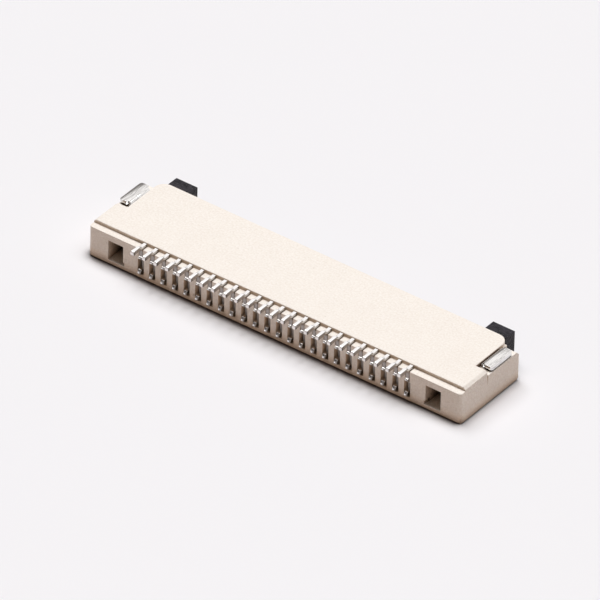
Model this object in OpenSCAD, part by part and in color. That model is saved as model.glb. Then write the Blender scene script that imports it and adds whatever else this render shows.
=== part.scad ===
// Right-angle FPC connector with a drawer-type slider that locks a flat flexible cable.
// It lies on its cover face with the solder side up. X runs along the contact row,
// -Y is the tail side, +Y is the cable side, and the origin is at the bottom centre.

/* [Contact row] */
// Number of contacts
contact_count = 24; // [4:1:30]
// Distance from one contact to the next
pitch = 1; // [0.8:0.05:1.5]
// Thickness of the sheet that the contacts are stamped from
contact_t = 0.27; // [0.15:0.01:0.32]
// Play on each side of a contact in the lower part of its slot in the rear wall
slot_gap = 0.13; // [0.05:0.01:0.15]
// Play on each side of a contact in the narrow upper part of its slot
head_gap = 0.04; // [0.02:0.01:0.06]
// Play on each side of a contact's arms in the inner grooves
groove_gap = 0.05; // [0.03:0.01:0.08]

/* [Contact] */
// Reach of the solder tail behind the rear wall
tail_reach = 1.05; // [0.6:0.05:1.6]
// Height of the solder tail
tail_h = 0.31; // [0.18:0.01:0.35]
// How far the tails stand proud of the housing's solder side
tail_standoff = 0.06; // [0:0.01:0.15]
// Step from the tail down to the head of the contact
tail_step = 0.14; // [0.05:0.01:0.2]
// Radius under the tail where it meets the spine
tail_fillet_r = 0.3; // [0.15:0.01:0.4]
// Depth of the relief in the rear edge of the spine
spine_relief = 0.3; // [0.1:0.01:0.34]
// Height of the foot below the relief
foot_h = 0.41; // [0.3:0.01:0.6]
// How far the foot stands out of the rear wall
foot_reach = 0.2; // [0.05:0.01:0.3]
// Radius of the foot's lower corner
foot_tip_r = 0.18; // [0.05:0.01:0.24]
// Height of the shoulder above the relief
shoulder_h = 0.66; // [0.4:0.02:0.9]
// Radius of the round lug on the shoulder
lug_r = 0.12; // [0.06:0.01:0.18]
// Height of the stiff arm that lies against the cover
cover_arm_h = 0.32; // [0.2:0.01:0.38]
// Distance from the mouth back to the end of the stiff arm
cover_arm_setback = 1.35; // [0.8:0.05:2.5]
// Height of the spring beam at its tip
beam_tip_h = 0.2; // [0.12:0.01:0.28]
// Distance from the mouth back to the contact point of the spring beam
bump_setback = 1.75; // [1.2:0.05:2.5]
// Radius of the contact point
bump_r = 0.2; // [0.12:0.01:0.26]
// Gap between the contact point and the closed slider, filled by the cable in use
bump_gap = 0.12; // [0.06:0.01:0.2]
// Clearance between a contact and the plastic that it seats on
seat_gap = 0.04; // [0.02:0.01:0.06]

/* [Housing plan] */
// Depth of the low ledge along the rear edge of the solder side
ledge_depth = 0.55; // [0.45:0.01:0.8]
// Thickness of the bar inside that stops the cable
stop_bar_t = 0.75; // [0.5:0.05:1.2]
// Depth of the cable cavity from the stop to the mouth
cavity_depth = 5.45; // [5.3:0.05:7]
// How far the base plate reaches past the mouth
plate_overhang = 0.32; // [0.2:0.02:0.6]
// Wall between the cable cavity and the slider's side channel
partition_t = 0.45; // [0.3:0.01:0.8]
// Width of the side channels
channel_w = 1.3; // [1.1:0.05:2]
// Wall between a side channel and the nail's notch
side_wall_t = 0.69; // [0.5:0.01:1]
// Radius of the housing's upright corners beside the tails
corner_r = 0.35; // [0.1:0.01:0.45]
// Radius of the housing's other upright corners
small_corner_r = 0.06; // [0.02:0.01:0.2]
// Radius of the base plate's corners on the cable side
plate_corner_r = 0.85; // [0.5:0.05:1.4]
// How far the end walls beside the tails lean in at the top
end_lean = 0.09; // [0.02:0.01:0.14]
// Chamfer along the upper edge of those end walls
end_chamfer = 0.18; // [0.08:0.01:0.24]
// Chamfer along the lower edge of the mouth
mouth_chamfer = 0.28; // [0.1:0.02:0.34]
// Chamfer along the other outer edges
edge_chamfer = 0.12; // [0.05:0.01:0.16]
// Chamfer at the end of the end blocks on the cable side
block_chamfer = 0.3; // [0.1:0.01:0.4]

/* [Housing section] */
// Thickness of the cover wall
cover_t = 0.4; // [0.36:0.02:0.8]
// Height of the ribs between the stiff arms
cover_rib_h = 0.48; // [0.44:0.01:0.6]
// Height of the ribs between the spring beams
base_rib_h = 0.52; // [0.44:0.01:0.7]
// Thickness of the base plate
base_t = 0.62; // [0.5:0.02:0.9]
// Drop from the solder side to the ledge
ledge_drop = 0.3; // [0.15:0.01:0.4]
// Height at which the end walls beside the tails start to lean in
lean_z = 1.5; // [1:0.05:2]
// Height of the side channels
channel_h = 1.64; // [1.3:0.02:1.7]
// Width of the relief in the inner lower corner of each rear window
window_relief_w = 0.12; // [0.06:0.01:0.2]
// Height of that relief
window_relief_h = 0.3; // [0.15:0.01:0.5]

/* [Cable] */
// Thickness of the cable at its stiffened end
cable_t = 0.3; // [0.2:0.01:0.4]
// Play above the cable before the slider locks it
cable_play = 0.1; // [0.05:0.01:0.15]
// Play on each side of the cable
cable_side_gap = 0.1; // [0.05:0.01:0.2]

/* [Slider] */
// Travel from locked to open
slider_travel = 1.3; // [0.8:0.05:1.6]
// Thickness of the tongue
tongue_t = 0.4; // [0.3:0.01:0.6]
// Length of the tongue from the mouth inwards
tongue_len = 3.7; // [3:0.05:4.4]
// Length of the tapered nose of the tongue
nose_len = 0.9; // [0.5:0.05:1.4]
// Thickness at the tip of the nose
nose_t = 0.16; // [0.1:0.01:0.25]
// Depth of the bar that crosses the mouth
bar_depth = 1.2; // [0.9:0.05:2]
// Lead-in for the cable along the bar
bar_chamfer = 0.22; // [0.1:0.01:0.3]
// How far the ears reach past the bar
ear_reach = 0.25; // [0.05:0.05:1]
// How far the top of the ears lies below the solder side
ear_drop = 0.23; // [0.1:0.01:0.5]
// Step from the cavity's side to the inner face of an ear
ear_inset = 0.18; // [0.05:0.01:0.3]
// How far an ear reaches out past the side channel
ear_overhang = 0.3; // [0.1:0.01:0.6]
// Length of the side arms from the mouth inwards
arm_len = 4.8; // [4:0.05:5.1]
// Length of the hook at the end of a side arm
hook_len = 0.6; // [0.4:0.05:0.9]
// How far a hook grips behind its stop
hook_grip = 0.1; // [0.05:0.01:0.15]
// Running clearance round the slider
slide_gap = 0.08; // [0.04:0.01:0.1]
// Clearance between the closed slider and the mouth
mouth_gap = 0.05; // [0.02:0.01:0.1]

/* [Solder nails] */
// Width of the nail's solder tab
nail_w = 0.98; // [0.8:0.02:1.4]
// Length of the solder tab
nail_len = 2.5; // [2:0.05:2.8]
// How far the end walls reach past the nail
nail_margin = 0.02; // [0.01:0.01:0.1]
// Gap between the solder tab and the end block under it
nail_lift = 0.19; // [0.05:0.01:0.25]
// Distance from the rear wall to the solder tab
nail_start = 3.5; // [2.5:0.05:3.7]
// Gap between the end of the notch and the solder tab
notch_gap = 0.4; // [0.2:0.05:0.6]
// Thickness of the nail's sheet
nail_t = 0.25; // [0.18:0.01:0.25]
// How far the nail's tab lies below the contact tails
nail_setback = 0; // [0:0.01:0.05]
// Corner radius of the solder tab
nail_corner_r = 0.2; // [0.1:0.01:0.3]
// Inner radius of the nail's bend
nail_bend_r = 0.05; // [0.03:0.01:0.1]
// Length of the leg below the solder side of the tab
nail_leg_len = 1.95; // [1.2:0.05:2.2]
// Clearance round the nail in the housing
nail_gap = 0.06; // [0.03:0.01:0.08]

/* [Hidden] */
$fn = 48;
cut = 0.5; // how far a cutter reaches past an open face
join = 0.01; // how far the pieces of one solid run into each other

// The heights, counted from the cover face
rib_z = cover_t + cover_rib_h;
tongue_gap = slide_gap / 2;
tongue_z = rib_z + tongue_gap;
cable_z = tongue_z + tongue_t;
base_rib_z = cable_z + cable_t + cable_play;
base_z = base_rib_z + base_rib_h;
housing_h = base_z + base_t;
ledge_z = housing_h - ledge_drop;
solder_z = housing_h + tail_standoff;
foot_z = cover_t + seat_gap;
relief_end_z = solder_z - tail_h - tail_fillet_r - shoulder_h;

// The depths, counted from the rear wall
stop_y = ledge_depth + stop_bar_t;
mouth_y = stop_y + cavity_depth;
plate_y = mouth_y + plate_overhang;
bar_y = mouth_y + mouth_gap;
bar_back_y = bar_y + bar_depth;
ear_back_y = bar_back_y + ear_reach;
notch_y = nail_start - notch_gap;
frame_y = (ear_back_y - tail_reach) / 2;

// The half widths, counted from the middle of the row
cavity_x = (contact_count + 1) * pitch / 2 + cable_side_gap;
channel_x = cavity_x + partition_t;
channel_end_x = channel_x + channel_w;
notch_x = channel_end_x + side_wall_t;
nail_x = notch_x + nail_gap;
nail_end_x = nail_x + nail_w;
end_x = nail_end_x + nail_margin;

// The hook and its stop
hook_x = channel_end_x - slide_gap;
stop_x = hook_x - hook_grip;
arm_x = channel_x + slide_gap;
arm_end_x = stop_x - slide_gap;
arm_tip_y = bar_y - arm_len;
hook_y = arm_tip_y + hook_len;
channel_stop_y = hook_y + slider_travel + mouth_gap / 2;

// The slider's ears
ear_x = cavity_x + ear_inset;
ear_end_x = channel_end_x + ear_overhang;
ear_z = housing_h - ear_drop;
slider_floor_z = slide_gap;

// The nail
nail_z = solder_z - nail_setback;
nail_under_z = nail_z - nail_t;
nail_bend_out_r = nail_bend_r + nail_t;
nail_leg_z = nail_z - nail_leg_len;
nail_floor_z = nail_under_z - nail_lift;
nail_relief = nail_corner_r / 2 + nail_gap;

contact_names = [for (k = [1 : contact_count]) str("contact_", k < 10 ? "0" : "", k)];

function contact_x(k) = (k - (contact_count + 1) / 2) * pitch;

// Puts what is drawn from the rear wall into the part's own frame
module place() {
    translate([0, -frame_y, 0]) children();
}

// Extrudes an outline drawn in Y and Z along X, from x to x + width
module along_x(x, width) {
    translate([x, 0, 0]) rotate([90, 0, 90]) linear_extrude(width) children();
}

// Draws its children at both ends of the connector
module both_ends() {
    children();
    mirror([1, 0, 0]) children();
}

// A box between two corners
module block(low, high) {
    translate(low) cube(high - low);
}

// A plan between x = -half and half, y0 and y1, with rounded corners at each side
module plan(half, y0, y1, rear_r, front_r) {
    difference() {
        translate([-half, y0]) square([2 * half, y1 - y0]);
        for (side = [0, 1]) mirror([side, 0]) {
            translate([half, y0]) corner(rear_r);
            translate([half, y1]) mirror([0, 1]) corner(front_r);
        }
    }
}

// What a round of radius r takes off a corner at the origin, whose sides run to -X and +Y
module corner(r) {
    difference() {
        translate([-r, -r]) square(2 * r);
        translate([-r, r]) circle(r);
        translate([-2 * r, 0]) square([r, 3 * r]);
        translate([-r, r]) square([2 * r, r]);
    }
}

// A chamfer cutter along X on the edge at y and z, from x0 to x1
module chamfer_x(y, z, size, x0, x1) {
    translate([(x0 + x1) / 2, y, z]) rotate([45, 0, 0])
        cube([x1 - x0, size * sqrt(2), size * sqrt(2)], center = true);
}

// A chamfer cutter along Y on the edge at x and z, from y0 to y1
module chamfer_y(x, z, size, y0, y1) {
    translate([x, (y0 + y1) / 2, z]) rotate([0, 45, 0])
        cube([size * sqrt(2), y1 - y0, size * sqrt(2)], center = true);
}

// Outer form: the low shell and its ledge, the raised plate with its two notches, and its lip
module housing_shell() {
    linear_extrude(nail_floor_z) plan(end_x, 0, mouth_y, corner_r, small_corner_r);
    linear_extrude(ledge_z) plan(end_x, 0, notch_y, corner_r, small_corner_r);
    translate([0, 0, base_z]) linear_extrude(base_t)
        plan(notch_x, ledge_depth, plate_y, small_corner_r, plate_corner_r);
    translate([0, 0, base_z]) linear_extrude(base_t)
        plan(end_x, ledge_depth, notch_y, small_corner_r, small_corner_r);
}

// What the lean of an end wall takes off beside the tails
module end_lean_cut() {
    slope = end_lean / (housing_h - lean_z);
    translate([0, notch_y, 0]) rotate([90, 0, 0]) linear_extrude(notch_y + cut) polygon([
        [end_x, lean_z], [end_x + cut, lean_z], [end_x + cut, housing_h + cut],
        [end_x - end_lean - slope * cut, housing_h + cut]
    ]);
}

// The space for the tongue and the cable, with a lead-in under the plate's lip
module cable_cavity() {
    block([-cavity_x, stop_y, rib_z], [cavity_x, mouth_y + cut, base_rib_z]);
    along_x(-cavity_x, 2 * cavity_x) polygon([
        [mouth_y - base_rib_h, base_rib_z - join], [plate_y + cut, base_rib_z - join],
        [plate_y + cut, base_z + bar_chamfer + cut], [plate_y - bar_chamfer, base_z],
        [mouth_y, base_z]
    ]);
}

// The slot of one contact: open at the back, narrow above, with a groove on each side of the stop bar
module contact_space(x) {
    slot = contact_t + 2 * slot_gap;
    neck = contact_t + 2 * head_gap;
    groove = contact_t + 2 * groove_gap;
    beam_end = mouth_y - bump_setback + 3 * bump_r + 2 * slide_gap;
    block([x - slot / 2, -cut, cover_t], [x + slot / 2, ledge_depth, relief_end_z]);
    block([x - neck / 2, -cut, cover_t], [x + neck / 2, ledge_depth, ledge_z + cut]);
    block([x - groove / 2, 0, cover_t],
        [x + groove / 2, mouth_y - cover_arm_setback + 2 * slide_gap, rib_z + join]);
    block([x - groove / 2, 0, base_rib_z - join], [x + groove / 2, beam_end, base_z]);
}

// A side channel for the slider's arm, which opens in a window through the rear wall
module side_channel() {
    top = cover_t + channel_h;
    block([channel_x, -cut, cover_t], [channel_end_x, channel_stop_y, top]);
    block([channel_x, 0, cover_t], [stop_x, mouth_y + cut, top]);
    block([channel_x - window_relief_w, -cut, cover_t],
        [channel_x + join, ledge_depth, cover_t + window_relief_h]);
}

// The slot that holds the leg of a solder nail
module nail_slot() {
    block([nail_x - nail_gap, nail_start + nail_relief - nail_gap, nail_leg_z - nail_gap],
        [nail_x + nail_t + nail_gap, nail_start + nail_len - nail_relief + nail_gap, ledge_z + cut]);
}

module housing() {
    color("AntiqueWhite") place() difference() {
        housing_shell();
        cable_cavity();
        for (k = [1 : contact_count]) contact_space(contact_x(k));
        both_ends() {
            side_channel();
            nail_slot();
            end_lean_cut();
            chamfer_y(end_x - end_lean, housing_h, end_chamfer, 0, notch_y);
            chamfer_y(end_x, 0, edge_chamfer, -cut, mouth_y + cut);
            chamfer_x(mouth_y, nail_floor_z, block_chamfer, notch_x, end_x + cut);
        }
        chamfer_x(mouth_y, 0, mouth_chamfer, -end_x - cut, end_x + cut);
        chamfer_x(0, 0, edge_chamfer, -end_x - cut, end_x + cut);
    }
}

// The tongue in section: flat to the nose, which tapers on the cable side
module tongue_section() {
    tip_y = bar_y - tongue_len;
    polygon([
        [tip_y, tongue_z], [bar_y + join, tongue_z], [bar_y + join, cable_z],
        [tip_y + nose_len, cable_z], [tip_y, tongue_z + nose_t]
    ]);
}

// The bar in section, with the cable's lead-in along its upper outer edge
module bar_section() {
    polygon([
        [bar_y, slider_floor_z], [bar_back_y - edge_chamfer, slider_floor_z],
        [bar_back_y, slider_floor_z + edge_chamfer], [bar_back_y, cable_z - bar_chamfer],
        [bar_back_y - 2 * bar_chamfer, cable_z], [bar_y, cable_z]
    ]);
}

// The ear in section: it passes under the plate's lip and rises behind it
module ear_section() {
    under_z = base_z - slide_gap;
    polygon([
        [bar_y, slider_floor_z], [ear_back_y - edge_chamfer, slider_floor_z],
        [ear_back_y, slider_floor_z + edge_chamfer], [ear_back_y, ear_z],
        [plate_y + slide_gap, ear_z], [plate_y + slide_gap, under_z], [bar_y, under_z]
    ]);
}

// The side arm in plan, with the hook that stops the slider from coming out
module arm_plan() {
    nose = hook_len / 3;
    polygon([
        [arm_x, bar_y + join], [arm_x, arm_tip_y + nose], [arm_x + nose / 2, arm_tip_y],
        [arm_end_x, arm_tip_y], [hook_x, arm_tip_y + nose], [hook_x, hook_y],
        [arm_end_x, hook_y], [arm_end_x, bar_y + join]
    ]);
}

module slider() {
    tongue_x = cavity_x - cable_side_gap;
    arm_z = cover_t + slide_gap;
    color([0.13, 0.13, 0.14]) place() {
        along_x(-tongue_x, 2 * tongue_x) tongue_section();
        along_x(-ear_end_x, 2 * ear_end_x) bar_section();
        both_ends() {
            along_x(ear_x, ear_end_x - ear_x) ear_section();
            translate([0, 0, arm_z]) linear_extrude(channel_h - 2 * slide_gap) arm_plan();
        }
    }
}

// The solder tab in plan, rounded at its outer corners
module nail_tab_plan() {
    tab_x = nail_x + nail_bend_out_r;
    difference() {
        translate([tab_x, nail_start]) square([nail_end_x - tab_x, nail_len]);
        translate([nail_end_x, nail_start]) corner(nail_corner_r);
        translate([nail_end_x, nail_start + nail_len]) mirror([0, 1]) corner(nail_corner_r);
    }
}

// The bend from the tab down to the leg, a quarter of a ring about Y
module nail_bend(y0, y1) {
    translate([nail_x + nail_bend_out_r, y1, nail_z - nail_bend_out_r])
        rotate([90, 0, 0]) linear_extrude(y1 - y0) difference() {
            circle(nail_bend_out_r);
            circle(nail_bend_r);
            translate([0, -2 * nail_bend_out_r]) square(4 * nail_bend_out_r);
            translate([-2 * nail_bend_out_r, -4 * nail_bend_out_r]) square(4 * nail_bend_out_r);
        }
}

// The leg seen along X, with a tapered end and a barb on each side
module nail_leg_outline(y0, y1) {
    barb = nail_gap / 2;
    taper = 2 * nail_corner_r;
    top_z = nail_z - nail_bend_out_r;
    polygon([
        [y0, top_z], [y0, nail_leg_z + 2 * taper], [y0 - barb, nail_leg_z + 2 * taper],
        [y0, nail_leg_z + taper], [y0 + taper / 2, nail_leg_z], [y1 - taper / 2, nail_leg_z],
        [y1, nail_leg_z + taper], [y1 + barb, nail_leg_z + 2 * taper],
        [y1, nail_leg_z + 2 * taper], [y1, top_z]
    ]);
}

module nail() {
    y0 = nail_start + nail_relief;
    y1 = nail_start + nail_len - nail_relief;
    color("Silver") {
        translate([0, 0, nail_under_z]) linear_extrude(nail_t) nail_tab_plan();
        nail_bend(y0, y1);
        along_x(nail_x, nail_t) nail_leg_outline(y0, y1);
    }
}

module nail_right() {
    place() nail();
}

module nail_left() {
    place() mirror([1, 0, 0]) nail();
}

// The tail and the head of a contact, seen along X
module tail_outline() {
    head_z = solder_z - tail_step;
    tail_under_z = solder_z - tail_h;
    spine_w = ledge_depth - seat_gap;
    nose = tail_h / 3;
    polygon([
        [-tail_reach, tail_under_z + nose / 2], [-tail_reach + nose / 2, tail_under_z],
        [spine_w, tail_under_z], [spine_w, head_z], [-tail_step / 2, head_z],
        [-1.5 * tail_step, solder_z], [-tail_reach + nose, solder_z],
        [-tail_reach, solder_z - nose]
    ]);
    translate([-tail_fillet_r, tail_under_z - tail_fillet_r]) difference() {
        square(tail_fillet_r);
        circle(tail_fillet_r);
    }
}

// The spine, with the relief in its rear edge between the foot and the shoulder's round lug
module spine_outline() {
    spine_w = ledge_depth - seat_gap;
    relief_z = foot_z + foot_h;
    difference() {
        translate([0, foot_z]) square([spine_w, solder_z - tail_h - foot_z]);
        translate([-cut, relief_z]) square([spine_relief + cut, relief_end_z - relief_z]);
    }
    translate([0, relief_end_z + shoulder_h / 3]) circle(lug_r);
    difference() {
        translate([-foot_reach, foot_z]) square([foot_reach + spine_relief, foot_h]);
        translate([-foot_reach, foot_z]) mirror([1, 0]) corner(foot_tip_r);
        translate([-foot_reach, relief_z]) mirror([0, 1]) mirror([1, 0]) corner(foot_tip_r / 2);
    }
}

// The stiff arm under the cover, with a small barb against the stop bar
module cover_arm_outline() {
    z0 = foot_z;
    z1 = z0 + cover_arm_h;
    y1 = mouth_y - cover_arm_setback;
    barb_y = ledge_depth + stop_bar_t / 2;
    barb_z = rib_z - seat_gap / 2;
    spine_w = ledge_depth - seat_gap;
    polygon([
        [spine_w - join, z0], [y1 - cover_arm_h / 2, z0], [y1, z0 + cover_arm_h / 3],
        [y1, z1 - cover_arm_h / 4], [stop_y, z1], [barb_y, z1], [barb_y, barb_z],
        [barb_y - stop_bar_t / 5, z1], [spine_w - join, z1]
    ]);
}

// The spring beam, which tapers to a round contact point that faces the cable
module beam_outline() {
    z0 = base_rib_z + 2 * seat_gap;
    z1 = base_z - 2 * seat_gap;
    spine_w = ledge_depth - seat_gap;
    bump_y = mouth_y - bump_setback;
    bump_z = cable_z + bump_gap + bump_r;
    knee_y = bump_y - 3 * bump_r;
    tip_y = bump_y + 3 * bump_r;
    barb_y = ledge_depth + stop_bar_t / 2;
    polygon([
        [spine_w - join, z0], [stop_y, z0], [knee_y, z0 + beam_tip_h / 4],
        [bump_y - bump_r, bump_z], [bump_y + bump_r, bump_z], [tip_y, z0 + beam_tip_h / 2],
        [tip_y, z0 + beam_tip_h], [bump_y + bump_r / 2, bump_z + beam_tip_h],
        [bump_y - bump_r / 2, bump_z + beam_tip_h], [knee_y, z0 + beam_tip_h * 5 / 4],
        [stop_y, z1], [barb_y, z1], [barb_y, base_z - seat_gap / 2],
        [barb_y - stop_bar_t / 5, z1], [spine_w - join, z1]
    ]);
    translate([bump_y, bump_z]) circle(bump_r);
}

module contact(k) {
    color([0.8, 0.8, 0.8]) place() along_x(contact_x(k) - contact_t / 2, contact_t) {
        tail_outline();
        spine_outline();
        cover_arm_outline();
        beam_outline();
    }
}

housing();
slider();
nail_left();
nail_right();
for (k = [1 : contact_count]) contact(k);
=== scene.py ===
# A drawer-type connector for a flat flexible cable, lying solder side up.
from math import cos, radians, sin

import bmesh
import bpy
from mathutils import Matrix, Vector


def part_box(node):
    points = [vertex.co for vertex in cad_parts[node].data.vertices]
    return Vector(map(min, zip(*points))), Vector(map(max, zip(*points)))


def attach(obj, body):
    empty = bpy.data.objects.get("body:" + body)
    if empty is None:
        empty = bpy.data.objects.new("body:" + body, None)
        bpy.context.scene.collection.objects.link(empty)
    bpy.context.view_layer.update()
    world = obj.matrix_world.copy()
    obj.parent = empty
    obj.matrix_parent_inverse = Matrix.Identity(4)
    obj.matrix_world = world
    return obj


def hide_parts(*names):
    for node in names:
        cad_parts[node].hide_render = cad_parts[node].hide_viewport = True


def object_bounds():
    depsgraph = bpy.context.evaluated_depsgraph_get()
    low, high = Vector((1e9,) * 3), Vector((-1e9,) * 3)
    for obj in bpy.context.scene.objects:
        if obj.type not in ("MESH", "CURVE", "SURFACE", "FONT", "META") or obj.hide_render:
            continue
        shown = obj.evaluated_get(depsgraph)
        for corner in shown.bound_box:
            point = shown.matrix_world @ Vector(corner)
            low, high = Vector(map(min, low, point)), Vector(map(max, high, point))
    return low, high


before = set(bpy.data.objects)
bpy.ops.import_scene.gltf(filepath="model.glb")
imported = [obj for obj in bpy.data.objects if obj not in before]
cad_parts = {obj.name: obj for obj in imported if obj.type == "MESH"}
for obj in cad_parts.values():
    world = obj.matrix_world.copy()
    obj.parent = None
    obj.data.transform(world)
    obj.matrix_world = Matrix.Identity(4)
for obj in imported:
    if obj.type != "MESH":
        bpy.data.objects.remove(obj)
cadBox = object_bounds()
cadLow, cadHigh = cadBox
mm = 0.001
print("frame loaded", [round(v / mm, 2) for v in cadHigh - cadLow])

# Camera

cameraSet = {
    "azimuth": 35.85, "elevation": 36.2, "roll": 1.4,  # degrees
    "distance": 0.9, "near": 0.05, "far": 10.0,  # metres
    "lens": 778.8, "sensor": 36.0,
    "aimRight": -0.295, "aimUp": -0.111,  # mm from the middle of the part
}


def makeCamera(s):
    az, el, roll = (radians(s[k]) for k in ("azimuth", "elevation", "roll"))
    ahead = Vector((-sin(az) * cos(el), cos(az) * cos(el), -sin(el)))
    level = Vector((cos(az), sin(az), 0))
    up = level.cross(ahead)
    right = level * cos(roll) + up * sin(roll)
    up = right.cross(ahead)
    aim = (cadLow + cadHigh) / 2 + right * s["aimRight"] * mm + up * s["aimUp"] * mm
    data = bpy.data.cameras.new("camera")
    data.lens, data.sensor_width = s["lens"], s["sensor"]
    data.clip_start, data.clip_end = s["near"], s["far"]
    camera = bpy.data.objects.new("camera", data)
    turn = Matrix((right, up, -ahead)).transposed()
    camera.matrix_world = Matrix.Translation(aim - ahead * s["distance"]) @ turn.to_4x4()
    bpy.context.scene.collection.objects.link(camera)
    bpy.context.scene.camera = camera


def boxInMm(nodeName):
    low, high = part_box(nodeName)
    return Vector(low) / mm, Vector(high) / mm


# Node helpers

def addNode(tree, kind, at, inputs=None, **fields):
    # inputs are values or sockets, by the node's own input names or numbers
    node = tree.nodes.new(kind)
    node.location = at
    for name, value in fields.items():
        setattr(node, name, value)
    for name, value in (inputs or {}).items():
        if isinstance(value, bpy.types.NodeSocket):
            tree.links.new(value, node.inputs[name])
        else:
            node.inputs[name].default_value = value
    return node


def mixColours(tree, at, factor, first, second):
    node = addNode(tree, "ShaderNodeMix", at, {0: factor, 6: first, 7: second}, data_type="RGBA")
    return node.outputs[2]


def layColours(tree, at, colour, layers):
    # each layer is a mask and the colour it lays over those before it
    for step, (mask, over) in enumerate(layers):
        colour = mixColours(tree, (at[0] + 170 * step, at[1]), mask, colour, over)
    return colour


def calc(tree, at, kind, a, b=0.0, clamp=False):
    node = addNode(tree, "ShaderNodeMath", at, {0: a, 1: b}, operation=kind, use_clamp=clamp)
    return node.outputs[0]


def spread(tree, at, value, low, high, toLow=0.0, toHigh=1.0):
    node = addNode(tree, "ShaderNodeMapRange", at,
                   {"Value": value, "From Min": low, "From Max": high,
                    "To Min": toLow, "To Max": toHigh})
    return node.outputs["Result"]


def partsOf(tree, at, vector):
    return addNode(tree, "ShaderNodeSeparateXYZ", at, {0: vector}).outputs


def facingParts(tree, at):
    # how far the surface faces along X, Y and Z
    where = addNode(tree, "ShaderNodeTexCoord", at)
    return partsOf(tree, (at[0] + 200, at[1]), where.outputs["Normal"])


def stretched(tree, at, point, scale):
    return addNode(tree, "ShaderNodeMapping", at, {"Vector": point, "Scale": scale}).outputs[0]


def newGroup(name, inputs, outputs):
    # inputs: name -> default number, or None for a vector
    group = bpy.data.node_groups.new(name, "ShaderNodeTree")
    for label, default in inputs.items():
        kind = "NodeSocketVector" if default is None else "NodeSocketFloat"
        socket = group.interface.new_socket(label, in_out="INPUT", socket_type=kind)
        if default is not None:
            socket.default_value = default
    for label in outputs:
        group.interface.new_socket(label, in_out="OUTPUT", socket_type="NodeSocketFloat")
    start = addNode(group, "NodeGroupInput", (-900, 0))
    end = addNode(group, "NodeGroupOutput", (900, 0))
    return group, start.outputs, end.inputs


def placeGroup(tree, group, at, inputs):
    return addNode(tree, "ShaderNodeGroup", at, inputs, node_tree=group).outputs


# Shared effects

def makeMouldedSkin():
    # What a spark-eroded mould leaves: fine pits, and slow clouds in the colour
    group, given, out = newGroup(
        "mouldedSkin", {"Point": None, "Pit Size": 0.05, "Cloud Size": 1.2},
        ("Clouds", "Pits", "Height"))
    perPit = calc(group, (-700, 100), "DIVIDE", 1.0, given["Pit Size"])
    perCloud = calc(group, (-700, -200), "DIVIDE", 1.0, given["Cloud Size"])
    fine = addNode(group, "ShaderNodeTexNoise", (-450, 200),
                   {"Vector": given["Point"], "Scale": perPit, "Detail": 3.0, "Roughness": 0.6})
    cells = addNode(group, "ShaderNodeTexVoronoi", (-450, -50),
                    {"Vector": given["Point"], "Scale": perPit}, feature="SMOOTH_F1")
    slow = addNode(group, "ShaderNodeTexNoise", (-450, -300),
                   {"Vector": given["Point"], "Scale": perCloud, "Detail": 5.0, "Roughness": 0.55})
    pits = spread(group, (-150, 200), fine.outputs["Fac"], 0.3, 0.7)
    hollow = spread(group, (-150, -50), cells.outputs["Distance"], 0.1, 0.7)
    height = calc(group, (100, 50), "MULTIPLY", pits, hollow)
    group.links.new(spread(group, (-150, -300), slow.outputs["Fac"], 0.3, 0.7), out["Clouds"])
    group.links.new(pits, out["Pits"])
    group.links.new(height, out["Height"])
    return group


def makeEdgeWear():
    # 1 along outer and inner edges, broken up by noise, 0 on the flats
    group, given, out = newGroup(
        "edgeWear", {"Point": None, "Width": 0.00004, "Break Size": 0.15}, ("Mask",))
    rounded = addNode(group, "ShaderNodeBevel", (-650, 150), {"Radius": given["Width"]}, samples=6)
    flat = addNode(group, "ShaderNodeNewGeometry", (-650, -50))
    turn = addNode(group, "ShaderNodeVectorMath", (-400, 100),
                   {0: rounded.outputs[0], 1: flat.outputs["Normal"]}, operation="DOT_PRODUCT")
    edge = spread(group, (-150, 100), turn.outputs["Value"], 0.995, 0.8)
    perBreak = calc(group, (-650, -250), "DIVIDE", 1.0, given["Break Size"])
    noise = addNode(group, "ShaderNodeTexNoise", (-400, -200),
                    {"Vector": given["Point"], "Scale": perBreak, "Detail": 4.0})
    broken = spread(group, (-150, -200), noise.outputs["Fac"], 0.35, 0.65)
    group.links.new(calc(group, (150, 0), "MULTIPLY", edge, broken, clamp=True), out["Mask"])
    return group


def makeSheetLines():
    # Fine lines drawn out along one direction, as rolling and shearing leave them
    group, given, out = newGroup(
        "sheetLines", {"Point": None, "Line Width": 0.03, "Blotch Size": 0.4},
        ("Lines", "Blotches"))
    perLine = calc(group, (-700, 100), "DIVIDE", 1.0, given["Line Width"])
    perBlotch = calc(group, (-700, -150), "DIVIDE", 1.0, given["Blotch Size"])
    lines = addNode(group, "ShaderNodeTexNoise", (-400, 100),
                    {"Vector": given["Point"], "Scale": perLine, "Detail": 2.0, "Roughness": 0.7})
    blotch = addNode(group, "ShaderNodeTexNoise", (-400, -150),
                     {"Vector": given["Point"], "Scale": perBlotch, "Detail": 3.0})
    group.links.new(spread(group, (0, 100), lines.outputs["Fac"], 0.35, 0.65), out["Lines"])
    group.links.new(spread(group, (0, -150), blotch.outputs["Fac"], 0.35, 0.65), out["Blotches"])
    return group


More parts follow.
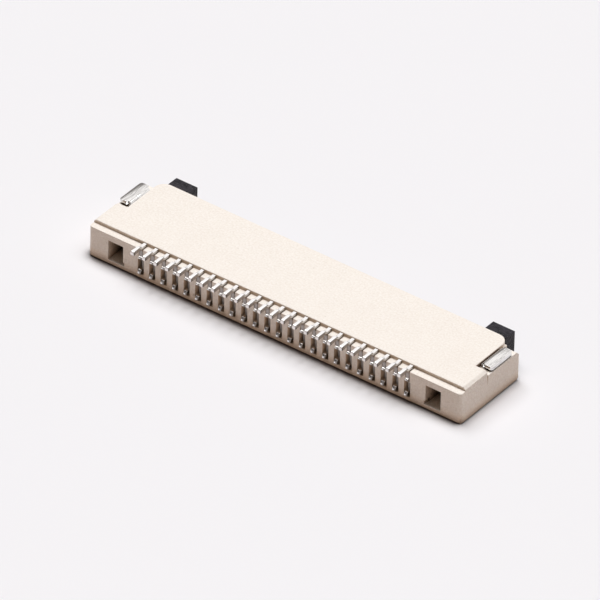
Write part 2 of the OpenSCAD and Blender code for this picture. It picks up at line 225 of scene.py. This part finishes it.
def makeSpecks():
    # Scattered small dots, such as filler grains and dust
    group, given, out = newGroup(
        "specks", {"Point": None, "Spacing": 0.3, "Dot": 0.12, "Share": 0.2}, ("Mask",))
    perCell = calc(group, (-700, 0), "DIVIDE", 1.0, given["Spacing"])
    cells = addNode(group, "ShaderNodeTexVoronoi", (-450, 0),
                    {"Vector": given["Point"], "Scale": perCell}, feature="F1")
    pick = addNode(group, "ShaderNodeSeparateColor", (-200, -150), {0: cells.outputs["Color"]})
    small = calc(group, (-50, 100), "LESS_THAN", cells.outputs["Distance"], given["Dot"])
    chosen = calc(group, (-50, -100), "LESS_THAN", pick.outputs[0], given["Share"])
    group.links.new(calc(group, (200, 0), "MULTIPLY", small, chosen), out["Mask"])
    return group


def makeOcclusionShade():
    # Painted shade mask from ambient occlusion: 1 in slots, windows and inner corners, 0 on open
    # faces
    group, given, out = newGroup(
        "occlusionShade", {"Reach": 0.001, "From": 0.3, "To": 0.8}, ("Mask",))
    outlook = addNode(group, "ShaderNodeAmbientOcclusion", (-400, 0), {"Distance": given["Reach"]},
                      samples=8)
    mask = spread(group, (0, 0), outlook.outputs["AO"], given["To"], given["From"])
    group.links.new(mask, out["Mask"])
    return group


mouldedSkin = makeMouldedSkin()
edgeWear = makeEdgeWear()
sheetLines = makeSheetLines()
specks = makeSpecks()
occlusionShade = makeOcclusionShade()
print("shared effects built")


# Materials

def newMaterial(name):
    material = bpy.data.materials.new(name)
    material.use_nodes = True
    tree = material.node_tree
    where = addNode(tree, "ShaderNodeTexCoord", (-1800, 0))
    # object coordinates are in metres, and the patterns count in millimetres
    point = stretched(tree, (-1600, 0), where.outputs["Object"], (1 / mm,) * 3)
    return material, tree, tree.nodes["Principled BSDF"], point


def bumped(tree, shader, at, height, strength, depth):
    bump = addNode(tree, "ShaderNodeBump", at,
                   {"Strength": strength, "Distance": depth * mm, "Height": height})
    tree.links.new(bump.outputs[0], shader.inputs["Normal"])


housingLook = {
    "base": (0.95, 0.9, 0.85, 1), "cloud": (0.9, 0.84, 0.785, 1), "pit": (0.74, 0.65, 0.565, 1),
    "edge": (0.95, 0.9, 0.84, 1), "fleck": (0.5, 0.43, 0.36, 1),
    # tan and deep: colours of the painted shade in slots, windows and corners
    "tan": (0.84, 0.64, 0.47, 1), "deep": (0.045, 0.02, 0.008, 1),
    "cloudShare": 0.5, "pitShare": 0.55, "edgeShare": 0.5, "fleckShare": 0.5,
    "pitSize": 0.15, "pitDepth": 0.06, "cloudSize": 1.6, "edgeWidth": 0.05,  # mm
    "fleckSpacing": 0.5, "fleckDot": 0.09, "fleckCount": 0.05,
    "deepReach": 1.4, "deepFrom": 0.25, "deepToWall": 0.82, "deepToTop": 0.5,
    "tanTo": 0.4, "brownFrom": 0.2, "brownTo": 0.85, "rowShare": 0.33,
    "bump": 0.9, "plateGrain": 0.3, "roughLow": 0.46, "roughHigh": 0.62, "specular": 0.4,
}


def makeHousingPlastic(s):
    material, tree, shader, point = newMaterial("housingPlastic")
    skin = placeGroup(tree, mouldedSkin, (-1100, 300),
                      {"Point": point, "Pit Size": s["pitSize"], "Cloud Size": s["cloudSize"]})
    wear = placeGroup(tree, edgeWear, (-1100, -100),
                      {"Point": point, "Width": s["edgeWidth"] * mm})
    dots = placeGroup(tree, specks, (-1100, -400),
                      {"Point": point, "Spacing": s["fleckSpacing"], "Dot": s["fleckDot"],
                       "Share": s["fleckCount"]})
    clouds = spread(tree, (-900, 420), skin["Clouds"], 0.0, 1.0, 0.0, s["cloudShare"])
    pitted = spread(tree, (-900, 200), skin["Pits"], 1.0, 0.0, 0.0, s["pitShare"])
    # edges are painted lighter: edge wear, and a painted highlight on the lit rims
    worn = calc(tree, (-900, 0), "MULTIPLY", wear["Mask"], s["edgeShare"])
    fleck = calc(tree, (-900, -300), "MULTIPLY", dots["Mask"], s["fleckShare"])
    # painted shade: slots and corners are painted tan, and then brown, as light that bounces about
    # in them would colour them
    up = facingParts(tree, (-1300, 800))[2]
    limit = spread(tree, (-900, 800), up, 0.0, 0.9, s["deepToWall"], s["deepToTop"])
    deep = placeGroup(tree, occlusionShade, (-700, 800),
                      {"Reach": s["deepReach"] * mm, "From": s["deepFrom"], "To": limit})
    shadeTint = spread(tree, (-500, 900), deep["Mask"], 0.0, s["tanTo"])
    # the painted brown shade is weaker in the slots between the bright contacts than in the
    # windows outside the row, as the contacts would light them
    aside = calc(tree, (-900, 1050), "ABSOLUTE", partsOf(tree, (-1100, 1050), point)[0])
    rowEnd = -boxInMm("contact_01")[0].x
    outside = spread(tree, (-700, 1050), aside, rowEnd, rowEnd + 0.3, s["rowShare"], 1.0)
    brown = spread(tree, (-500, 700), deep["Mask"], s["brownFrom"], s["brownTo"])
    shadeDark = calc(tree, (-300, 800), "MULTIPLY", brown, outside)
    colour = layColours(tree, (-700, 400), s["base"], (
        (clouds, s["cloud"]), (pitted, s["pit"]), (worn, s["edge"]), (fleck, s["fleck"]),
        (shadeTint, s["tan"]), (shadeDark, s["deep"])))
    tree.links.new(colour, shader.inputs["Base Color"])
    rough = spread(tree, (-300, 0), skin["Height"], 0.0, 0.8, s["roughHigh"], s["roughLow"])
    tree.links.new(rough, shader.inputs["Roughness"])
    shader.inputs["Specular IOR Level"].default_value = s["specular"]
    # the plate is smoother than the walls
    grain = spread(tree, (-700, -500), up, 0.0, 0.9, 1.0, s["plateGrain"])
    height = calc(tree, (-500, -400), "MULTIPLY", skin["Height"], grain)
    bumped(tree, shader, (-300, -250), height, s["bump"], s["pitDepth"])
    return material


sliderLook = {
    "base": (0.001, 0.001, 0.003, 1), "cloud": (0.036, 0.032, 0.04, 1),
    "fleck": (0.16, 0.15, 0.165, 1), "edge": (0.05, 0.047, 0.055, 1),
    "fleckShare": 0.35, "edgeShare": 0.6,
    "pitSize": 0.18, "pitDepth": 0.05, "cloudSize": 0.45, "edgeWidth": 0.05,  # mm
    "fleckStretch": (0.45, 1, 1), "fleckSpacing": 0.09, "fleckDot": 0.3, "fleckCount": 0.3,
    "bump": 1.0, "roughLow": 0.36, "roughHigh": 0.6, "specular": 0.17,
}


def makeSliderPlastic(s):
    # A glass-filled plastic, with short fibres that show along the moulding
    material, tree, shader, point = newMaterial("sliderPlastic")
    skin = placeGroup(tree, mouldedSkin, (-1100, 300),
                      {"Point": point, "Pit Size": s["pitSize"], "Cloud Size": s["cloudSize"]})
    wear = placeGroup(tree, edgeWear, (-1100, -100),
                      {"Point": point, "Width": s["edgeWidth"] * mm})
    fibre = stretched(tree, (-1300, -400), point, s["fleckStretch"])
    dots = placeGroup(tree, specks, (-1100, -400),
                      {"Point": fibre, "Spacing": s["fleckSpacing"], "Dot": s["fleckDot"],
                       "Share": s["fleckCount"]})
    fleck = calc(tree, (-900, -300), "MULTIPLY", dots["Mask"], s["fleckShare"])
    worn = calc(tree, (-900, 0), "MULTIPLY", wear["Mask"], s["edgeShare"])
    colour = layColours(tree, (-700, 400), s["base"], (
        (skin["Clouds"], s["cloud"]), (fleck, s["fleck"]), (worn, s["edge"])))
    tree.links.new(colour, shader.inputs["Base Color"])
    rough = spread(tree, (-300, 0), skin["Height"], 0.0, 0.8, s["roughHigh"], s["roughLow"])
    tree.links.new(rough, shader.inputs["Roughness"])
    shader.inputs["Specular IOR Level"].default_value = s["specular"]
    bumped(tree, shader, (-300, -250), skin["Height"], s["bump"], s["pitDepth"])
    return material


contactLook = {
    # top, worn and bare carry painted highlights, bare is also bare metal; cut is the duller
    # sheared edge, darkened further as painted shade; deep is painted shade
    "plate": (0.55, 0.535, 0.52, 1), "dull": (0.46, 0.44, 0.42, 1), "top": (0.97, 0.96, 0.95, 1),
    "cut": (0.37, 0.33, 0.305, 1), "worn": (0.95, 0.93, 0.91, 1), "bare": (0.95, 0.905, 0.89, 1),
    "deep": (0.05, 0.035, 0.028, 1),
    "rolledStretch": (1, 0.12, 1), "rolledLine": 0.03, "rolledShare": 0.6,
    "cutStretch": (0.08, 1, 1), "cutLine": 0.02, "lineDepth": 0.003,  # mm
    "edgeWidth": 0.05, "edgeBreak": 0.3, "deepReach": 0.9,  # mm
    "deepFrom": 0.02, "deepTo": 0.22,
    "toeFrom": 0.09, "toeTo": 0.03,  # mm from the end of the tail
    "proudBy": 0.06, "proudDrop": 0.56,  # mm from the rear wall, and from the top of the housing
    "glintSideFrom": 0.2, "glintSideTo": 0.1,  # shares of the step from contact to contact
    "bump": 0.15, "roughLow": 0.06, "roughHigh": 0.2, "roughTorn": 0.5,
}


def makeContactMetal(s):
    # Tin over copper alloy: rolled flanks; upper edges painted near white, a painted highlight; a
    # dull sheared rear edge, partly painted shade, painted bright where it stands out, a painted
    # highlight; bare metal, brightened as a painted highlight, where the tail was cut off; painted
    # shade in the slots
    material, tree, shader, point = newMaterial("contactMetal")
    place = partsOf(tree, (-1300, -700), point)
    facing = facingParts(tree, (-1600, -500))
    # painted highlight: faces that do not face sideways, the upper edges above all, are painted
    # near white
    sideways = calc(tree, (-1200, -400), "ABSOLUTE", facing[0])
    edgewise = spread(tree, (-1000, -400), sideways, 0.85, 0.5)
    # faces turned to the rear are painted dark: the duller sheared edge, and painted shade
    rearward = spread(tree, (-1000, -620), facing[1], -0.3, -0.7)
    alongTail = stretched(tree, (-1350, 300), point, s["rolledStretch"])
    alongCut = stretched(tree, (-1350, 0), point, s["cutStretch"])
    rolled = placeGroup(tree, sheetLines, (-1100, 300),
                        {"Point": alongTail, "Line Width": s["rolledLine"]})
    cut = placeGroup(tree, sheetLines, (-1100, 0),
                     {"Point": alongCut, "Line Width": s["cutLine"]})
    wear = placeGroup(tree, edgeWear, (-1100, -200),
                      {"Point": point, "Width": s["edgeWidth"] * mm, "Break Size": s["edgeBreak"]})
    # painted shade: the metal is painted dark brown deep in the slots
    deep = placeGroup(tree, occlusionShade, (-700, 600),
                      {"Reach": s["deepReach"] * mm, "From": s["deepFrom"], "To": s["deepTo"]})
    # near-white toe: bare metal where the tail was cut off, and a painted highlight on its end
    tailEnd = cadLow.y / mm
    toe = spread(tree, (-900, 600), place[1], tailEnd + s["toeFrom"], tailEnd + s["toeTo"])
    # painted highlight: the lug and the tip of the foot stand out from the rear wall
    wall, top = boxInMm("housing")[0].y, boxInMm("housing")[1].z
    out = spread(tree, (-1000, -850), place[1], wall - s["proudBy"], wall - 2 * s["proudBy"])
    low = calc(tree, (-1000, -1050), "LESS_THAN", place[2], top - s["proudDrop"])
    # and are painted bright on their left flank only
    first, second = boxInMm("contact_01")[0].x, boxInMm("contact_02")[0].x
    across = calc(tree, (-1200, -1250), "SUBTRACT", place[0], first)
    across = calc(tree, (-1050, -1250), "DIVIDE", across, second - first)
    across = calc(tree, (-900, -1250), "FRACT", across)
    glintSide = spread(tree, (-750, -1250), across, s["glintSideFrom"], s["glintSideTo"])
    proud = calc(tree, (-750, -900), "MULTIPLY", out, low)
    proud = calc(tree, (-600, -900), "MULTIPLY", proud, glintSide)
    # painted highlight on the proud spots, and on the rounded edges that the edge wear mask finds
    glintAndWear = calc(tree, (-450, -800), "MAXIMUM", proud, wear["Mask"])
    colour = layColours(tree, (-800, 400), s["plate"], (
        (rolled["Blotches"], s["dull"]), (edgewise, s["top"]), (rearward, s["cut"]),
        (glintAndWear, s["worn"]), (toe, s["bare"]), (deep["Mask"], s["deep"])))
    tree.links.new(colour, shader.inputs["Base Color"])
    cutLines = calc(tree, (-700, -50), "MULTIPLY", cut["Lines"], edgewise)
    rolledLines = calc(tree, (-700, -250), "MULTIPLY", rolled["Lines"], s["rolledShare"])
    lines = calc(tree, (-500, -150), "MAXIMUM", cutLines, rolledLines)
    rough = spread(tree, (-300, 0), lines, 0.0, 1.0, s["roughLow"], s["roughHigh"])
    torn = calc(tree, (-300, -500), "SUBTRACT", rearward, proud, clamp=True)
    torn = calc(tree, (-150, -500), "MULTIPLY", torn, s["roughTorn"])
    tree.links.new(calc(tree, (0, -100), "MAXIMUM", rough, torn), shader.inputs["Roughness"])
    shader.inputs["Metallic"].default_value = 1.0
    bumped(tree, shader, (-300, -300), lines, s["bump"], s["lineDepth"])
    return material


nailLook = {
    "plate": (0.86, 0.85, 0.84, 1), "dull": (0.4, 0.385, 0.375, 1), "edge": (0.96, 0.945, 0.93, 1),
    "rolledStretch": (1, 0.1, 1), "rolledLine": 0.05, "blotchSize": 0.16,
    "edgeWidth": 0.06, "edgeBreak": 0.4, "lineDepth": 0.004,  # mm
    "bump": 0.3, "roughLow": 0.08, "roughHigh": 0.24,
}


def makeNailMetal(s):
    # Bright tin, with dull streaks along the tab
    material, tree, shader, point = newMaterial("nailMetal")
    alongTab = stretched(tree, (-1350, 300), point, s["rolledStretch"])
    rolled = placeGroup(tree, sheetLines, (-1100, 300),
                        {"Point": alongTab, "Line Width": s["rolledLine"],
                         "Blotch Size": s["blotchSize"]})
    wear = placeGroup(tree, edgeWear, (-1100, -100),
                      {"Point": point, "Width": s["edgeWidth"] * mm, "Break Size": s["edgeBreak"]})
    streaks = calc(tree, (-800, 200), "MULTIPLY", rolled["Lines"], rolled["Blotches"])
    colour = layColours(tree, (-600, 400), s["plate"], (
        (streaks, s["dull"]), (wear["Mask"], s["edge"])))
    tree.links.new(colour, shader.inputs["Base Color"])
    rough = spread(tree, (-300, 0), rolled["Lines"], 0.0, 1.0, s["roughLow"], s["roughHigh"])
    tree.links.new(rough, shader.inputs["Roughness"])
    shader.inputs["Metallic"].default_value = 1.0
    bumped(tree, shader, (-300, -250), rolled["Lines"], s["bump"], s["lineDepth"])
    return material


materials = {
    "housing_plastic": makeHousingPlastic(housingLook),
    "slider_plastic": makeSliderPlastic(sliderLook),
    "contact_metal": makeContactMetal(contactLook),
    "nail_metal": makeNailMetal(nailLook),
}
print("materials built")


# Pieces

def openNode(nodeName):
    # A merged copy of a CAD node's mesh in millimetres, its flat faces joined up
    bm = bmesh.new()
    bm.from_mesh(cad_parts[nodeName].data)
    bmesh.ops.scale(bm, vec=(1 / mm,) * 3, verts=bm.verts)
    bmesh.ops.remove_doubles(bm, verts=bm.verts, dist=0.0005)
    bmesh.ops.dissolve_limit(bm, angle_limit=radians(0.6), verts=bm.verts, edges=bm.edges)
    return bm


def softenEdges(bm, edges, width, segments):
    bmesh.ops.bevel(bm, geom=edges, offset=width, offset_type="OFFSET", segments=segments,
                    profile=0.5, affect="EDGES", clamp_overlap=True, material=-1)


def sharpEdges(bm, least):
    # an edge that an earlier bevel has closed up has no length left to round
    return [e for e in bm.edges if len(e.link_faces) == 2
            and e.calc_face_angle(0) > radians(least) and e.calc_length() > 0]


def lowestOf(edge):
    return min(v.co.z for v in edge.verts)


def closePiece(bm, pieceName, body, slotName, nodeName, smooth):
    bmesh.ops.scale(bm, vec=(mm,) * 3, verts=bm.verts)
    mesh = bpy.data.meshes.new(pieceName)
    bm.to_mesh(mesh)
    bm.free()
    mesh.materials.append(materials[slotName])
    piece = bpy.data.objects.new(pieceName, mesh)
    bpy.context.scene.collection.objects.link(piece)
    mesh.shade_smooth()
    mesh.set_sharp_from_angle(angle=radians(smooth))
    # the large faces stay flat, and the bend shows in the bevels only
    flats = piece.modifiers.new("flatFaces", "WEIGHTED_NORMAL")
    flats.keep_sharp = True
    flats.weight = 100
    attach(piece, body)
    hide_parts(nodeName)


housingSet = {
    "rim": 0.07, "rimSegments": 3, "edge": 0.03, "edgeSegments": 2,  # mm
    "rimAngle": 25, "edgeAngle": 32, "smooth": 40,  # degrees
}


def makeHousing(s):
    bm = openNode("housing")
    top = boxInMm("housing")[1].z
    rim = [e for e in sharpEdges(bm, s["rimAngle"]) if lowestOf(e) > top - 0.001]
    softenEdges(bm, rim, s["rim"], s["rimSegments"])
    softenEdges(bm, sharpEdges(bm, s["edgeAngle"]), s["edge"], s["edgeSegments"])
    closePiece(bm, "housingShell", "root", "housing_plastic", "housing", s["smooth"])


sliderSet = {"edge": 0.035, "edgeSegments": 2, "edgeAngle": 25, "smooth": 40}


def makeSlider(s):
    bm = openNode("slider")
    softenEdges(bm, sharpEdges(bm, s["edgeAngle"]), s["edge"], s["edgeSegments"])
    closePiece(bm, "sliderDrawer", "slider", "slider_plastic", "slider", s["smooth"])


nailSet = {
    "crown": 0.065, "sheet": 0.32,  # mm
    "cuts": (-0.8, -0.6, -0.4, -0.2, 0.0, 0.2, 0.4, 0.6, 0.8),  # shares of half the width
    "rim": 0.09, "rimSegments": 4, "edge": 0.03, "edgeSegments": 2,  # mm
    "rimAngle": 30, "edgeAngle": 32, "smooth": 40,  # degrees
}


def makeNail(side, s):
    # The tab is slightly crowned from side to side, with a well rounded rim
    nodeName = "nail_" + side
    bm = openNode(nodeName)
    low, high = boxInMm(nodeName)
    mid, half = (low.x + high.x) / 2, (high.x - low.x) / 2
    for cut in s["cuts"]:
        bmesh.ops.bisect_plane(bm, geom=bm.verts[:] + bm.edges[:] + bm.faces[:], dist=0.001,
                               plane_co=(mid + cut * half, 0, 0), plane_no=(1, 0, 0))
    for v in bm.verts:
        if v.co.z > high.z - s["sheet"]:
            v.co.z -= s["crown"] * ((v.co.x - mid) / half) ** 2
    rim = [e for e in sharpEdges(bm, s["rimAngle"]) if lowestOf(e) > high.z - s["crown"] - 0.01]
    softenEdges(bm, rim, s["rim"], s["rimSegments"])
    softenEdges(bm, sharpEdges(bm, s["edgeAngle"]), s["edge"], s["edgeSegments"])
    closePiece(bm, "solderNail." + side, "root", "nail_metal", nodeName, s["smooth"])


contactSet = {
    "footLow": 0.16, "footHigh": 0.5, "footSlope": 0.75,  # mm, mm, share of its reach
    "lugFrom": 1.26, "lugTo": 1.6, "lugDrop": 0.04,  # mm
    "tailRise": 0.16, "tailRun": 1.0, "rolledEdge": 0.07, "rolledSegments": 5,  # mm
    "edge": 0.015, "edgeSegments": 2,  # mm
    "rolledAngle": 60, "edgeAngle": 32, "smooth": 20,  # degrees
}


def makeContact(nodeName, s):
    bm = openNode(nodeName)
    low, high = boxInMm(nodeName)
    wall = boxInMm("housing")[0].y
    for v in bm.verts:
        # the foot slopes down and out to its tip, and the lug sits a little low
        if v.co.y < wall and v.co.z < low.z + s["footHigh"]:
            rise = max(0.0, v.co.z - low.z - s["footLow"]) / (s["footHigh"] - s["footLow"])
            v.co.y = wall + (v.co.y - wall) * (1 - s["footSlope"] * rise)
        elif v.co.y < wall + 0.001 and low.z + s["lugFrom"] < v.co.z < low.z + s["lugTo"]:
            v.co.z -= s["lugDrop"]
    # stamping rolls the edges of the tail over on one flank only
    rolled = [e for e in sharpEdges(bm, s["rolledAngle"])
              if min(v.co.x for v in e.verts) > high.x - 0.001
              and lowestOf(e) > high.z - s["tailRise"]
              and max(v.co.y for v in e.verts) < low.y + s["tailRun"]]
    softenEdges(bm, rolled, s["rolledEdge"], s["rolledSegments"])
    softenEdges(bm, sharpEdges(bm, s["edgeAngle"]), s["edge"], s["edgeSegments"])
    closePiece(bm, nodeName.replace("_", "."), "root", "contact_metal", nodeName, s["smooth"])


makeHousing(housingSet)
makeSlider(sliderSet)
for side in ("left", "right"):
    makeNail(side, nailSet)
for nodeName in sorted(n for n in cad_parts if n.startswith("contact_")):
    makeContact(nodeName, contactSet)


# Stage and light

floorSet = {
    "size": 3.0,  # metres
    # deep is the colour of the painted shadow where the floor meets the part
    "seen": (0.858, 0.848, 0.873, 1), "glow": (0.76, 0.66, 0.62, 1), "deep": (0.16, 0.13, 0.13, 1),
    "rough": 0.9, "touchReach": 0.68, "touchFrom": 0.52, "touchTo": 0.93,
    "endFrom": -0.4, "endTo": 0.1, "endShare": 0.35,  # mm past the end of the part
}


def makeFloor(s):
    bm = bmesh.new()
    bmesh.ops.create_grid(bm, x_segments=8, y_segments=8, size=s["size"] / 2)
    bmesh.ops.translate(bm, verts=bm.verts, vec=(0, 0, cadLow.z))
    mesh = bpy.data.meshes.new("floor")
    bm.to_mesh(mesh)
    bm.free()
    floor = bpy.data.objects.new("floor", mesh)
    bpy.context.scene.collection.objects.link(floor)
    material, tree, shader, point = newMaterial("floorBoard")
    # the board throws a warmer, weaker light on the part than it shows
    ray = addNode(tree, "ShaderNodeLightPath", (-800, 200))
    board = mixColours(tree, (-500, 200), ray.outputs["Is Diffuse Ray"], s["seen"], s["glow"])
    # painted shadow: the floor is painted dark close to the part, where ambient occlusion finds it
    # hemmed in
    floorShadow = placeGroup(tree, occlusionShade, (-800, -100),
                       {"Reach": s["touchReach"] * mm, "From": s["touchFrom"],
                        "To": s["touchTo"]})
    # the painted shadow is weaker beside the right end, as if the lamps reached in under it from
    # the side
    end = cadHigh.x / mm
    besideEnd = spread(tree, (-800, -300), partsOf(tree, (-1000, -300), point)[0],
                       end + s["endFrom"], end + s["endTo"], 1.0, s["endShare"])
    shade = calc(tree, (-500, -100), "MULTIPLY", floorShadow["Mask"], besideEnd)
    colour = mixColours(tree, (-250, 200), shade, board, s["deep"])
    tree.links.new(colour, shader.inputs["Base Color"])
    shader.inputs["Roughness"].default_value = s["rough"]
    shader.inputs["Specular IOR Level"].default_value = 0.0
    mesh.materials.append(material)


lightSet = {
    "lampSum": 3.2, "lampSpread": 32.0, "lampBack": 9.0,  # degrees
    "lampTurns": ((-22.0, 0.42), (0.0, 0.36), (20.0, 0.22)),  # degrees, share of the light
    "skyHigh": (0.1, 0.1, 0.1, 1), "skyFront": (0.12, 0.096, 0.072, 1),
    # what shiny metal meets: a bright ceiling, a grey back wall, a dark front
    "shineHigh": (1.0, 0.98, 0.97, 1), "shineLow": (0.2, 0.185, 0.175, 1),
    "shineFront": (0.08, 0.07, 0.065, 1),
    "shineFrom": 0.36, "shineTo": 0.47,  # sines of the elevation between which the ceiling begins
    "ceilingFrom": -0.75, "ceilingTo": -0.3,  # and where it begins from front to back
}


def makeLight(s):
    # A long lamp over the row, narrow from front to back, and a weak sky
    for number, (turn, share) in enumerate(s["lampTurns"]):
        lamp = bpy.data.lights.new("stripLamp%d" % number, "SUN")
        lamp.energy, lamp.angle = s["lampSum"] * share, radians(s["lampSpread"])
        sun = bpy.data.objects.new(lamp.name, lamp)
        back = Matrix.Rotation(radians(-s["lampBack"]), 3, "X")
        sun.matrix_world = (back @ Matrix.Rotation(radians(turn), 3, "Y")).to_4x4()
        bpy.context.scene.collection.objects.link(sun)
    world = bpy.data.worlds.new("studio")
    bpy.context.scene.world = world
    world.use_nodes = True
    tree = world.node_tree
    where = addNode(tree, "ShaderNodeTexCoord", (-1200, 0))
    aim = partsOf(tree, (-1000, 0), where.outputs["Generated"])
    back = spread(tree, (-800, 150), aim[1], -0.5, 0.5)
    sky = mixColours(tree, (-500, 150), back, s["skyFront"], s["skyHigh"])
    low = mixColours(tree, (-500, -50), back, s["shineFront"], s["shineLow"])
    high = spread(tree, (-800, -150), aim[2], s["shineFrom"], s["shineTo"])
    behind = spread(tree, (-800, -350), aim[1], s["ceilingFrom"], s["ceilingTo"])
    ceiling = calc(tree, (-500, -250), "MULTIPLY", high, behind)
    shine = mixColours(tree, (-300, -50), ceiling, low, s["shineHigh"])
    ray = addNode(tree, "ShaderNodeLightPath", (-500, 400))
    colour = mixColours(tree, (-100, 50), ray.outputs["Is Glossy Ray"], sky, shine)
    tree.links.new(colour, tree.nodes["Background"].inputs["Color"])


bpy.context.scene.view_settings.view_transform = "Standard"
makeCamera(cameraSet)
makeFloor(floorSet)
makeLight(lightSet)
print("camera, floor and light set")
